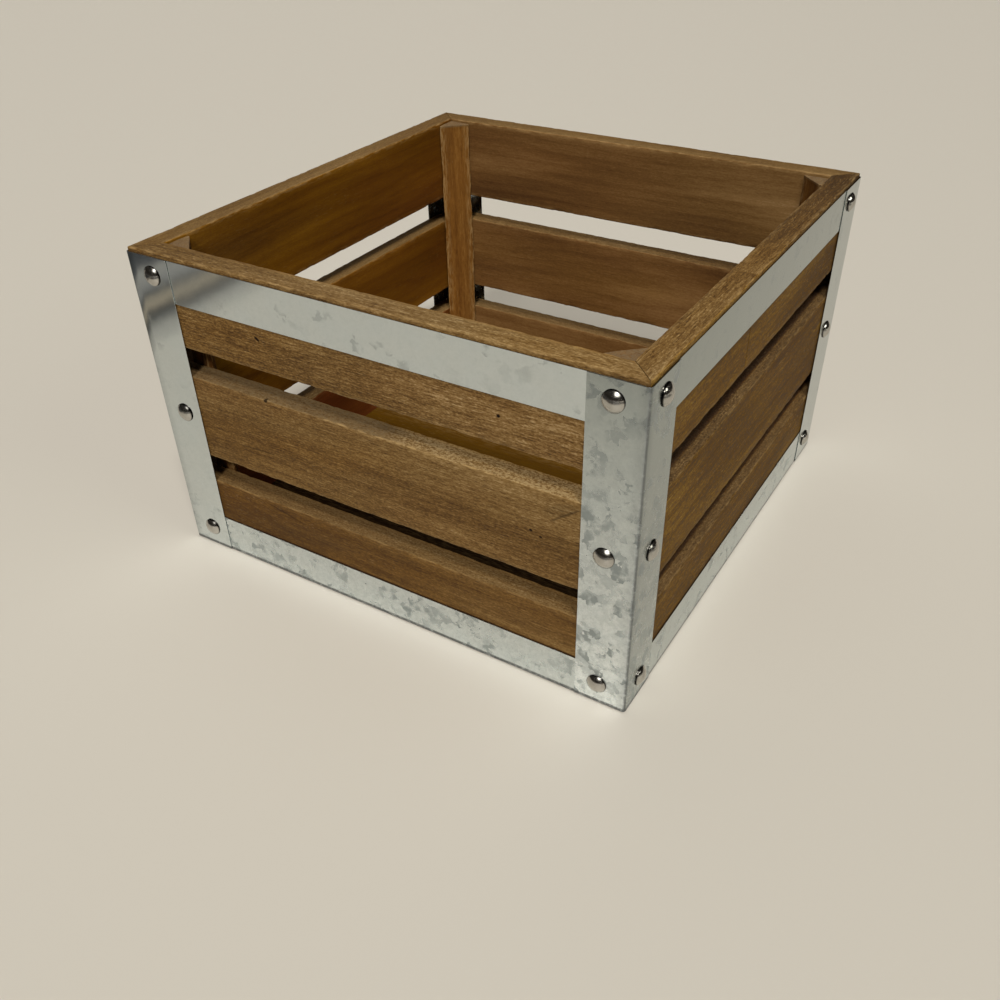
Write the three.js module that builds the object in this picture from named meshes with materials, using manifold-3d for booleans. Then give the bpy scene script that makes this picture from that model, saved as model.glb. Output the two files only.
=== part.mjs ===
// Slatted wooden crate with mitred corners, bent sheet-steel corner angles, flat bands and dome-headed nails.
// Millimetres, +Z up. The origin is on the ground at the middle of the crate, and the front wall faces -Y.
import * as THREE from 'three';
import { mergeVertices } from 'three/addons/utils/BufferGeometryUtils.js';
import Module from 'manifold-3d';

const wasm = await Module();
wasm.setup();

// Walls, measured over the wood
const crateWidth = 251; // along X
const crateDepth = 251; // along Y
const slatLevels = ['bottom', 'middle', 'top'];
const slatHeight = 43.5;
const slatGap = 14.45; // open space between one slat and the next
const slatThickness = 11.5;
const slatEase = 0.6; // rounding of a slat's long edges
const mitreGap = 0.3; // seam between two slats at a corner

// Triangular posts that hold the slats together from inside
const postLeg = 14.5;
const postBlunt = 1.2; // flat on a post's sharp edges
const postDrop = 1; // top of a post below the rim

// Floor boards, laid along X between the walls
const boardWidth = 43;
const boardThickness = 9;
const boardEase = 1;
const boardGapLeast = 2.5;
const floorRaise = 1.5; // underside of the boards above the ground

// Galvanised sheet: flat bands, with the corner angles over their ends
const bandHeight = 20;
const bandThickness = 0.3;
const bandEndGap = 1; // from a band's end to the start of the angle's bend
const angleLeg = 24.5;
const angleThickness = 0.3;
const angleBend = 1; // inside radius of the bend
const rimReveal = 2; // wood that shows above the metal
const baseReveal = 0.6; // wood that shows below it

// Short dome-headed nails through angle and band into the slats
const headDiameter = 9.2;
const headHeight = 2.4;
const headEdge = 0.3; // straight edge under the dome
const shankDiameter = 2;
const shankLength = 11;
const pointLength = 3;
const nailRoom = 3; // wood between a nail's point and the mitre
const nailBaseRise = 11.3; // lowest nail above the ground
const nailRimDrop = 10.8; // highest nail below the rim

// Fits
const seatGap = 0.1; // between pieces that lie against each other
const nailClearance = 0.3; // round a shank in its hole

// Facets
const easeSteps = 2;
const bendSteps = 3;
const domeSteps = 5;
const nailSides = 12;
const holeSides = 12;
const cutterOverlap = 1;

// Sizes that follow from the ones above
const crateHeight = slatLevels.length * slatHeight + (slatLevels.length - 1) * slatGap;
const floorTop = floorRaise + boardThickness;
const metalTop = crateHeight - rimReveal;
const angleInside = seatGap + bandThickness + seatGap; // from the wood to the angle's inner face
const angleOutside = angleInside + angleThickness;
const headSeat = angleOutside + seatGap; // from the wood to the underside of a nail's head
const nailTip = shankLength - headSeat; // depth of a nail's point in the wood
const nailInset = nailTip + nailRoom; // from the wood's corner to the nail line
const holeRadius = shankDiameter / 2 + nailClearance;
const highNail = crateHeight - nailRimDrop;
const nailHeights = { low: nailBaseRise, middle: (nailBaseRise + highNail) / 2, high: highNail };

// Each wall with the corner at its right-hand end, as seen from outside
const walls = [
  { name: 'front', corner: 'front_right', length: crateWidth, distance: crateDepth / 2 },
  { name: 'right', corner: 'back_right', length: crateDepth, distance: crateWidth / 2 },
  { name: 'back', corner: 'back_left', length: crateWidth, distance: crateDepth / 2 },
  { name: 'left', corner: 'front_left', length: crateDepth, distance: crateWidth / 2 },
];

const finishes = {
  slat: { color: 0x75562f, roughness: 0.62, metalness: 0 },
  post: { color: 0x8a6138, roughness: 0.6, metalness: 0 },
  board: { color: 0x6d5629, roughness: 0.65, metalness: 0 },
  zinc: { color: 0xb6bebc, roughness: 0.36, metalness: 0.9 },
  nickel: { color: 0xcac7c0, roughness: 0.14, metalness: 1 },
};

function piece(name, geometry, finish) {
  const mesh = new THREE.Mesh(geometry, new THREE.MeshStandardMaterial(finishes[finish]));
  mesh.name = name;
  return mesh;
}

// Closed solids for cutting, and back to a geometry
function toSolid(geometry) {
  const bare = geometry.clone();
  bare.deleteAttribute('normal');
  bare.deleteAttribute('uv');
  const merged = mergeVertices(bare);
  const vertProperties = new Float32Array(merged.getAttribute('position').array);
  const triVerts = new Uint32Array(merged.getIndex().array);
  return new wasm.Manifold(new wasm.Mesh({ numProp: 3, vertProperties, triVerts }));
}

function toGeometry(solid) {
  const mesh = solid.getMesh();
  const geometry = new THREE.BufferGeometry();
  geometry.setAttribute('position', new THREE.BufferAttribute(mesh.vertProperties, 3));
  geometry.setIndex(new THREE.BufferAttribute(mesh.triVerts, 1));
  geometry.computeVertexNormals();
  return geometry;
}

function extrude(shape, depth, curveSegments) {
  return new THREE.ExtrudeGeometry(shape, { depth, curveSegments, bevelEnabled: false });
}

// A bar along X with rounded long edges, from y = 0 to width and from z = 0 to height
function easedBar(length, width, height, ease) {
  const section = new THREE.Shape();
  section.absarc(ease, ease, ease, Math.PI, 1.5 * Math.PI);
  section.absarc(width - ease, ease, ease, 1.5 * Math.PI, 2 * Math.PI);
  section.absarc(width - ease, height - ease, ease, 0, 0.5 * Math.PI);
  section.absarc(ease, height - ease, ease, 0.5 * Math.PI, Math.PI);
  const bar = extrude(section, length, easeSteps);
  bar.rotateY(Math.PI / 2);
  bar.rotateX(Math.PI / 2);
  bar.translate(-length / 2, 0, 0);
  return bar;
}

// Nail holes start outside the metal and end just past the nail's point, with y = 0 at the wood's face
function nailHole(x, z) {
  const start = -headSeat - cutterOverlap;
  const end = nailTip + nailClearance;
  const hole = new THREE.CylinderGeometry(holeRadius, holeRadius, end - start, holeSides);
  hole.translate(x, (start + end) / 2, z);
  return hole;
}

// Slat: its outer face is at y = 0, and both ends are mitred
function makeSlat(length, nailHeight) {
  const bar = toSolid(easedBar(length, slatThickness, slatHeight, slatEase));
  const outerHalf = length / 2 - (mitreGap / 2) * Math.SQRT2 + cutterOverlap;
  const innerHalf = outerHalf - slatThickness - 2 * cutterOverlap;
  const plan = new THREE.Shape();
  plan.moveTo(-outerHalf, -cutterOverlap);
  plan.lineTo(outerHalf, -cutterOverlap);
  plan.lineTo(innerHalf, slatThickness + cutterOverlap);
  plan.lineTo(-innerHalf, slatThickness + cutterOverlap);
  const cutter = extrude(plan, slatHeight + 2 * cutterOverlap, 1);
  cutter.translate(0, 0, -cutterOverlap);
  const nailX = length / 2 - nailInset;
  const drilled = bar
    .intersect(toSolid(cutter))
    .subtract(toSolid(nailHole(-nailX, nailHeight)))
    .subtract(toSolid(nailHole(nailX, nailHeight)));
  return toGeometry(drilled);
}

// Band: a flat strip with a nail hole near each end, its back at y = 0
function makeBand(length, nailHeight) {
  const half = length / 2 + angleInside - angleBend - bandEndGap;
  const strip = new THREE.Shape();
  strip.moveTo(-half, 0);
  strip.lineTo(half, 0);
  strip.lineTo(half, bandHeight);
  strip.lineTo(-half, bandHeight);
  const nailX = length / 2 - nailInset;
  for (const x of [-nailX, nailX]) {
    const hole = new THREE.Path();
    hole.absarc(x, nailHeight, holeRadius, 0, 2 * Math.PI, true);
    strip.holes.push(hole);
  }
  const band = extrude(strip, bandThickness, holeSides / 2);
  band.rotateX(Math.PI / 2);
  return band;
}

// Nail: the dome points to -Y, and the underside of its head is at y = 0
function makeNail() {
  const domeHeight = headHeight - headEdge;
  const headRadius = headDiameter / 2;
  const shankRadius = shankDiameter / 2;
  const domeRadius = (headRadius ** 2 + domeHeight ** 2) / (2 * domeHeight);
  const domeAngle = Math.asin(headRadius / domeRadius);
  const centre = domeRadius - headHeight;
  const profile = [];
  for (let step = 0; step <= domeSteps; step += 1) {
    const angle = (domeAngle * step) / domeSteps;
    profile.push(new THREE.Vector2(domeRadius * Math.sin(angle), centre - domeRadius * Math.cos(angle)));
  }
  profile.push(new THREE.Vector2(headRadius, 0));
  profile.push(new THREE.Vector2(shankRadius, 0));
  profile.push(new THREE.Vector2(shankRadius, shankLength - pointLength));
  profile.push(new THREE.Vector2(0, shankLength));
  return new THREE.LatheGeometry(profile, nailSides);
}

// Post: a triangle with blunted sharp edges, which fills the corner of two walls and stands on the floor
function makePost() {
  const back = slatThickness + seatGap;
  const bottom = floorTop + seatGap;
  const end = back + postLeg - postBlunt;
  const triangle = new THREE.Shape();
  triangle.moveTo(-back, back);
  triangle.lineTo(-back, end);
  triangle.lineTo(-back - postBlunt, end);
  triangle.lineTo(-end, back + postBlunt);
  triangle.lineTo(-end, back);
  const post = extrude(triangle, crateHeight - postDrop - bottom, 1);
  post.translate(0, 0, bottom);
  return post;
}

// Angle: a sheet bent round the wood's corner, which is at the origin, over the ends of the bands
function makeAngle() {
  const outerBend = angleBend + angleThickness;
  const bendCentre = angleOutside - outerBend;
  const legEnd = angleLeg - angleOutside;
  const sheet = new THREE.Shape();
  sheet.moveTo(-legEnd, -angleOutside);
  sheet.absarc(bendCentre, -bendCentre, outerBend, -0.5 * Math.PI, 0);
  sheet.lineTo(angleOutside, legEnd);
  sheet.lineTo(angleInside, legEnd);
  sheet.absarc(bendCentre, -bendCentre, angleBend, 0, -0.5 * Math.PI, true);
  sheet.lineTo(-legEnd, -angleInside);
  const bent = extrude(sheet, metalTop - baseReveal, bendSteps);
  bent.translate(0, 0, baseReveal);
  let angle = toSolid(bent);
  for (const height of Object.values(nailHeights)) {
    const sideHole = nailHole(nailInset, height);
    sideHole.rotateZ(Math.PI / 2);
    angle = angle.subtract(toSolid(nailHole(-nailInset, height))).subtract(toSolid(sideHole));
  }
  return toGeometry(angle);
}

// One wall with its slats, bands and nails, and the post and angle of the corner at its right-hand end
function makeWall(wall) {
  const group = new THREE.Group();
  const levels = Object.keys(nailHeights);
  slatLevels.forEach((level, row) => {
    const bottom = row * (slatHeight + slatGap);
    const nailHeight = nailHeights[levels[row]] - bottom;
    const slat = piece(`slat_${wall.name}_${level}`, makeSlat(wall.length, nailHeight), 'slat');
    slat.position.set(0, -wall.distance, bottom);
    group.add(slat);
  });

  const bands = { bottom: [baseReveal, nailHeights.low], top: [metalTop - bandHeight, nailHeights.high] };
  for (const [level, [bottom, nailHeight]] of Object.entries(bands)) {
    const strip = makeBand(wall.length, nailHeight - bottom);
    const band = piece(`band_${wall.name}_${level}`, strip, 'zinc');
    band.position.set(0, -wall.distance - seatGap, bottom);
    group.add(band);
  }

  for (const [end, side] of [['left', -1], ['right', 1]]) {
    for (const [level, height] of Object.entries(nailHeights)) {
      const nail = piece(`nail_${wall.name}_${end}_${level}`, makeNail(), 'nickel');
      nail.position.set(side * (wall.length / 2 - nailInset), -wall.distance - headSeat, height);
      group.add(nail);
    }
  }

  const corner = new THREE.Group();
  corner.position.set(wall.length / 2, -wall.distance, 0);
  corner.add(piece(`corner_post_${wall.corner}`, makePost(), 'post'));
  corner.add(piece(`corner_angle_${wall.corner}`, makeAngle(), 'zinc'));
  group.add(corner);
  return group;
}

// Floor: as many boards as fit, spread evenly from the front wall to the back wall
function makeFloor() {
  const group = new THREE.Group();
  const span = crateDepth - 2 * (slatThickness + seatGap);
  const length = crateWidth - 2 * (slatThickness + seatGap);
  const count = Math.floor((span + boardGapLeast) / (boardWidth + boardGapLeast));
  const pitch = (span - boardWidth) / (count - 1);
  for (let index = 0; index < count; index += 1) {
    const plank = easedBar(length, boardWidth, boardThickness, boardEase);
    const board = piece(`floor_board_${index + 1}`, plank, 'board');
    board.position.set(0, -span / 2 + index * pitch, floorRaise);
    group.add(board);
  }
  return group;
}

const crate = new THREE.Group();
crate.name = 'wooden_crate';
walls.forEach((wall, turn) => {
  const side = makeWall(wall);
  side.rotation.z = (turn * Math.PI) / 2;
  crate.add(side);
});
crate.add(makeFloor());

export default crate;
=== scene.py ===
import math
import random

import bmesh
import bpy
from mathutils import Matrix, Vector, noise


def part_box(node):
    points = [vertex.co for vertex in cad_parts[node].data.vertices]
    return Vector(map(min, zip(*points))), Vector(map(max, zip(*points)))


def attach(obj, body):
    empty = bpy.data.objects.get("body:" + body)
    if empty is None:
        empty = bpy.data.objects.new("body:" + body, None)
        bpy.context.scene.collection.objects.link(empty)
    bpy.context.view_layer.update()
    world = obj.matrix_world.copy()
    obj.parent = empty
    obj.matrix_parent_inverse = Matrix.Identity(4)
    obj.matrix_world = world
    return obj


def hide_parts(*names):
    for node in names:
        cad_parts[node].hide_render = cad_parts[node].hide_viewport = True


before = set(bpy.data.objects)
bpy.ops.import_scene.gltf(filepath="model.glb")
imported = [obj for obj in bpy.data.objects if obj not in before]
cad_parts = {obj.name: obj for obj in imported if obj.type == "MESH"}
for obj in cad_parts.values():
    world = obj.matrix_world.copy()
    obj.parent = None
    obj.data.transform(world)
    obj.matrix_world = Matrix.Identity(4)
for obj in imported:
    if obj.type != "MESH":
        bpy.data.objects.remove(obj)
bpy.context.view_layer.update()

scene = bpy.context.scene
mm = 0.001
tiny = 1e-6

walls = ["front", "right", "back", "left"]    # each a quarter turn on from the last
corners = ["front_right", "back_right", "back_left", "front_left"]        # at each wall's right-hand end
levels = ["bottom", "middle", "top"]
seeds = {"slat": 1, "post": 101, "board": 201, "band": 301, "angle": 401, "nail": 501}


# Camera, floor and light

cameraSet = {
    "place": (0.23678, -0.39847, 0.31705),
    "turn": (52.4117, 1.0194, 31.4376),       # degrees about X, Y and Z
    "lens": 35.43,
    "sensor": 36,
    "shiftUp": 0.0422,
    "nearest": 0.01,
}

floorSet = {
    "width": 14,
    "colour": (0.63, 0.595, 0.53, 1),
    "roughness": 0.5,
}

lampSet = {
    "key": {
        "towards": (0.21, -0.66, 0.72),       # from the crate to the lamp
        "spread": 9,                          # degrees across
        "strength": 1.85,
        "colour": (1, 0.97, 0.92),
    },
    "top": {
        "towards": (0.36, -0.31, 0.88),
        "spread": 9,
        "strength": 1.35,
        "colour": (1, 0.96, 0.9),
    },
    "right": {
        "towards": (0.84, 0.0, 0.54),
        "spread": 24,
        "strength": 0.25,
        "colour": (0.92, 1, 0.8),
    },
    "fill": {
        "towards": (-0.62, 0.48, 0.62),
        "spread": 80,
        "strength": 0.3,
        "colour": (1, 0.94, 0.85),
    },
}

skySet = {
    "light": [                 # height, from 0 at the horizon to 1 overhead, and the light there
        (0.0, (0.30, 0.28, 0.245, 1)), (0.12, (0.27, 0.25, 0.22, 1)), (0.28, (0.025, 0.025, 0.025, 1)),
        (0.78, (0.025, 0.025, 0.025, 1)), (1.0, (0.24, 0.225, 0.20, 1)),
    ],
    "mirrored": [              # the same for what the metal mirrors
        (0.0, (0.06, 0.05, 0.042, 1)), (0.2, (0.02, 0.018, 0.015, 1)), (0.45, (0.045, 0.04, 0.034, 1)),
        (0.7, (0.015, 0.015, 0.015, 1)), (1.0, (0.2, 0.19, 0.17, 1)),
    ],
    "windows": [               # bright panes that only the metal mirrors, in degrees from the middle
        {"towards": (0.84, 0.0, 0.54), "pane": 7, "blur": 13, "light": (7, 6.8, 6.3, 1)},
        {"towards": (0.24, -0.62, 0.75), "pane": 13, "blur": 24, "light": (2.4, 2.35, 2.2, 1)},
    ],
}

cardLift = 1 * mm
cardSet = {                                   # dark cards on the floor, which show only in the metal
    "left": {
        "near": (-0.32, -0.14), "far": (-7, -7), "axis": "X",
        "bands": [                            # metres from the near edge, and the colour there
            (0.0, (0.53, 0.50, 0.45, 1)), (0.02, (0.42, 0.40, 0.36, 1)), (0.034, (0.07, 0.07, 0.07, 1)),
            (0.042, (0.10, 0.09, 0.08, 1)), (0.052, (0.42, 0.35, 0.26, 1)), (0.062, (0.36, 0.31, 0.24, 1)),
            (0.072, (0.09, 0.09, 0.09, 1)), (0.085, (0.30, 0.29, 0.28, 1)), (0.11, (0.38, 0.36, 0.33, 1)),
            (0.125, (0.09, 0.09, 0.095, 1)), (0.16, (0.04, 0.042, 0.045, 1)),
        ],
    },
    "front": {
        "near": (1.2, -0.43), "far": (-0.32, -7), "axis": "Y",
        "bands": [
            (0.0, (0.30, 0.27, 0.22, 1)), (0.03, (0.05, 0.045, 0.04, 1)), (1.0, (0.02, 0.02, 0.02, 1)),
        ],
    },
    "right": {
        "near": (0.5, 0.2), "far": (7, -0.43), "axis": "X",
        "bands": [
            (0.0, (0.26, 0.23, 0.18, 1)), (0.06, (0.08, 0.07, 0.06, 1)), (1.0, (0.03, 0.03, 0.03, 1)),
        ],
    },
}


def placeCamera():
    lens = bpy.data.cameras.new("photo_lens")
    lens.lens = cameraSet["lens"]
    lens.sensor_width = cameraSet["sensor"]
    lens.shift_y = cameraSet["shiftUp"]
    lens.clip_start = cameraSet["nearest"]
    camera = bpy.data.objects.new("photo_camera", lens)
    camera.location = cameraSet["place"]
    camera.rotation_euler = [math.radians(angle) for angle in cameraSet["turn"]]
    scene.collection.objects.link(camera)
    scene.camera = camera


def layFlat(name, low, high, height):
    bm = bmesh.new()
    middle = Matrix.Translation(((low[0] + high[0]) / 2, (low[1] + high[1]) / 2, height))
    size = Matrix.Diagonal((abs(high[0] - low[0]), abs(high[1] - low[1]), 1, 1))
    bmesh.ops.create_grid(bm, x_segments=1, y_segments=1, size=0.5, matrix=middle @ size)
    mesh = bpy.data.meshes.new(name)
    bm.to_mesh(mesh)
    bm.free()
    flat = bpy.data.objects.new(name, mesh)
    scene.collection.objects.link(flat)
    return flat


def layFloor():
    half = floorSet["width"] / 2
    floor = layFlat("pale_floor", (-half, -half), (half, half), 0)
    material, tree, shader = newFinish("pale_floor")
    shader.inputs["Base Color"].default_value = floorSet["colour"]
    shader.inputs["Roughness"].default_value = floorSet["roughness"]
    floor.data.materials.append(material)


def layCard(name):
    look = cardSet[name]
    near, far = look["near"], look["far"]
    card = layFlat(name + "_card", near, far, cardLift)
    card.visible_camera = False
    card.visible_diffuse = False
    card.visible_shadow = False
    material, tree, shader = newFinish(name + "_card")
    place = node(tree, "SeparateXYZ", {0: node(tree, "TexCoord").outputs["Object"]}).outputs[look["axis"]]
    axis = "XY".index(look["axis"])
    reach = look["bands"][-1][0]
    last = near[axis] + math.copysign(reach, far[axis])
    along = node(tree, "MapRange", {"Value": place, "From Min": near[axis], "From Max": last}).outputs[0]
    stops = [(start / reach, colour) for start, colour in look["bands"]]
    tree.links.new(bands(tree, along, stops), shader.inputs["Base Color"])
    card.data.materials.append(material)


def hangLamp(name):
    look = lampSet[name]
    light = bpy.data.lights.new(name + "_lamp", "SUN")
    light.angle = math.radians(look["spread"])
    light.energy = look["strength"]
    light.color = look["colour"]
    lamp = bpy.data.objects.new(name + "_lamp", light)
    lamp.rotation_euler = Vector(look["towards"]).to_track_quat("Z", "Y").to_euler()
    scene.collection.objects.link(lamp)


def paintSky():
    world = bpy.data.worlds.new("soft_room")
    world.use_nodes = True
    tree = world.node_tree
    place = node(tree, "TexCoord").outputs["Generated"]
    height = node(tree, "SeparateXYZ", {0: place}).outputs["Z"]
    mirrored = bands(tree, height, skySet["mirrored"])
    for look in skySet["windows"]:
        towards = Vector(look["towards"]).normalized()
        aim = node(tree, "VectorMath", {0: place, 1: towards}, operation="DOT_PRODUCT").outputs["Value"]
        reach = [math.cos(math.radians(look[edge])) for edge in ("blur", "pane")]
        mirrored = tint(tree, span(tree, aim, *reach), mirrored, look["light"])
    inMetal = node(tree, "LightPath").outputs["Is Glossy Ray"]
    light = tint(tree, inMetal, bands(tree, height, skySet["light"]), mirrored)
    tree.links.new(light, tree.nodes["Background"].inputs["Color"])
    scene.world = world


# Shader nodes, one short call each

def node(tree, kind, values=None, **settings):
    made = tree.nodes.new("ShaderNode" + kind)
    for name, value in settings.items():
        setattr(made, name, value)
    for socket, value in (values or {}).items():
        if isinstance(value, bpy.types.NodeSocket):
            tree.links.new(value, made.inputs[socket])
        else:
            made.inputs[socket].default_value = value
    return made


def read(tree, name, output="Fac"):           # what the mesh's own attribute says
    return node(tree, "Attribute", attribute_name=name).outputs[output]


def cloud(tree, place, size, shift=0, detail=2, rough=0.5, bend=0):  # noise, sized along and across in mm
    along, across = size
    scaled = node(tree, "Mapping", {"Vector": place, "Location": (shift, shift, shift),
                                    "Scale": (1 / along, 1 / across, 1 / across)})
    values = {"Vector": scaled.outputs[0], "Scale": 1, "Detail": detail}
    return node(tree, "TexNoise", {**values, "Roughness": rough, "Distortion": bend}).outputs[0]


def span(tree, value, low, high, start=0, end=1):                        # low to high becomes start to end
    values = {"Value": value, "From Min": low, "From Max": high, "To Min": start, "To Max": end}
    return node(tree, "MapRange", values, interpolation_type="SMOOTHSTEP").outputs[0]


def patches(tree, place, look):               # noise whose rise from low to high becomes a share
    blotch = cloud(tree, place, look["size"], look["shift"], look["detail"], look.get("rough", 0.5))
    return span(tree, blotch, *look["rise"], *look.get("share", (0, 1)))


def calc(tree, how, first, second=0, third=0):
    return node(tree, "Math", {0: first, 1: second, 2: third}, operation=how).outputs[0]


def times(tree, first, second):
    return calc(tree, "MULTIPLY", first, second)


def swing(tree, layer, share, base):          # noise swings round a half, so its share is added both ways
    return calc(tree, "MULTIPLY_ADD", calc(tree, "SUBTRACT", layer, 0.5), share, base)


def vector(tree, how, *values):
    return node(tree, "VectorMath", dict(enumerate(values)), operation=how)


def tint(tree, amount, under, over, how="MIX"):
    return node(tree, "Mix", {0: amount, 6: under, 7: over}, data_type="RGBA", blend_type=how).outputs[2]


def bands(tree, value, stops):                # a ramp through (place, colour) stops
    ramp = node(tree, "ValToRGB", {0: value})
    made = ramp.color_ramp.elements
    made[0].position, made[0].color = stops[0]
    made[1].position, made[1].color = stops[-1]
    for place, colour in stops[1:-1]:
        made.new(place).color = colour
    return ramp.outputs[0]


def newFinish(name):
    material = bpy.data.materials.new(name)
    material.use_nodes = True
    return material, material.node_tree, material.node_tree.nodes["Principled BSDF"]


# Stained wood: layers of figure, growth rings, crumbly sawn edges, flecks, pores and worn arrises,
# all in the board's own millimetres, with the grain along X

slatWoodSet = {
    "tones": [
        (0.0, (0.031, 0.0135, 0.004, 1)), (0.3, (0.082, 0.041, 0.0117, 1)), (0.5, (0.142, 0.077, 0.0225, 1)),
        (0.72, (0.232, 0.141, 0.052, 1)), (1.0, (0.40, 0.285, 0.14, 1)),
    ],
    "broad": [((300, 34), 0.5), ((160, 14), 0.32), ((60, 4.5), 0.24)],   # slow figure: sizes and shares
    "fine": [((16, 1.5), 0.28), ((30, 0.6), 0.5), ((5, 0.65), 0.7), ((1.4, 0.55), 0.9)],
    "drift": (110, 24),        # slow change of the stain
    "driftShare": 0.9,
    "stains": [                # red, amber, plain, russet and olive, for stains from -2 to 2
        (0.0, (0.95, 0.42, 0.30, 1)), (0.25, (1.10, 0.79, 0.08, 1)), (0.5, (1, 1, 1, 1)),
        (0.75, (1.07, 0.92, 0.88, 1)), (1.0, (1.08, 1.0, 0.48, 1)),
    ],
    "stainStep": 0.25,
    "ringWidth": 5.5,
    "ringDark": 0.05,
    "lateWood": (0.35, 0.9),   # where a ring starts to darken, and where it is darkest
    "sway": (110, 26),
    "swayReach": 16,
    "crumb": (1.04, 0.8),
    "crumbShare": 1.0,
    "dustRise": (0.3, 0.7),
    "dustLeast": 0.4,
    "glintFleck": {"size": (4, 0.6), "shift": 71, "detail": 1, "rise": (0.62, 0.74)},
    "fleckPatch": {"size": (50, 14), "shift": 83, "detail": 1, "rise": (0.42, 0.62)},
    "glintFleckShare": 0.3,
    "pore": {"size": (4, 0.45), "shift": 97, "detail": 1, "rise": (0.64, 0.78)},
    "poreShare": 0.35,
    "rub": {
        "size": (6, 1.2), "shift": 113, "detail": 3, "rough": 0.65, "rise": (0.42, 0.62), "share": (0, 0.55),
    },
    "dust": (0.12, 0.082, 0.042, 1),
    "hole": (0.008, 0.003, 0.001, 1),
    "worn": (0.42, 0.28, 0.12, 1),
    "fibreSwing": (-0.2, 0.2),
    "roughness": (0.6, 0.85),
    "specular": 0.12,
    "relief": 0.14 * mm,
    "reliefStrength": 0.9,
    "reliefShares": (0.7, 0.5, -0.7, 1.4),     # of fibres, flecks, pores and crumbs
    "marks": [                 # on the front: x, z, half length and half width in mm, degrees and strength
        (-55.6, 131.5, 2.0, 0.9, 35, 1.0), (65.2, 128.8, 1.1, 0.9, 0, 1.0), (79.4, 80.5, 1.0, 0.8, 20, 1.0),
        (83.9, 78.7, 0.9, 0.75, 0, 0.9), (-57.4, 100.9, 1.4, 1.0, 0, 0.9),
        (94.5, 93.0, 10, 0.7, -37, 0.45), (93.0, 95.0, 11, 3.6, -22, 0.22),
        (-57.5, 39.0, 15, 0.8, 12, 0.38), (-69.0, 72.0, 15, 0.6, -2, 0.4),
    ],
    "markFace": -125.5,
    "markDepth": 3,
    "markEdge": 0.5,
}

postWoodSet = dict(
    slatWoodSet,
    tones=[
        (0.0, (0.042, 0.015, 0.003, 1)), (0.35, (0.120, 0.049, 0.009, 1)), (0.55, (0.185, 0.083, 0.017, 1)),
        (0.75, (0.27, 0.138, 0.036, 1)), (1.0, (0.44, 0.27, 0.10, 1)),
    ],
    broad=[((170, 4.5), 0.6), ((70, 2.2), 0.4)],
    fine=[((12, 1.2), 0.4), ((4, 0.8), 0.6)],
    dust=(0.165, 0.125, 0.075, 1),
    marks=[],
)

floorWoodSet = dict(
    slatWoodSet,
    tones=[
        (0.0, (0.022, 0.009, 0.0006, 1)), (0.35, (0.098, 0.043, 0.0015, 1)), (0.6, (0.15, 0.071, 0.003, 1)),
        (1.0, (0.28, 0.16, 0.015, 1)),
    ],
    broad=[((160, 9), 0.25), ((52, 2.5), 0.25)],
    fine=[((14, 1.2), 0.35), ((4.2, 0.8), 0.5)],
    ringDark=0.03,
    marks=[],
)


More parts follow.
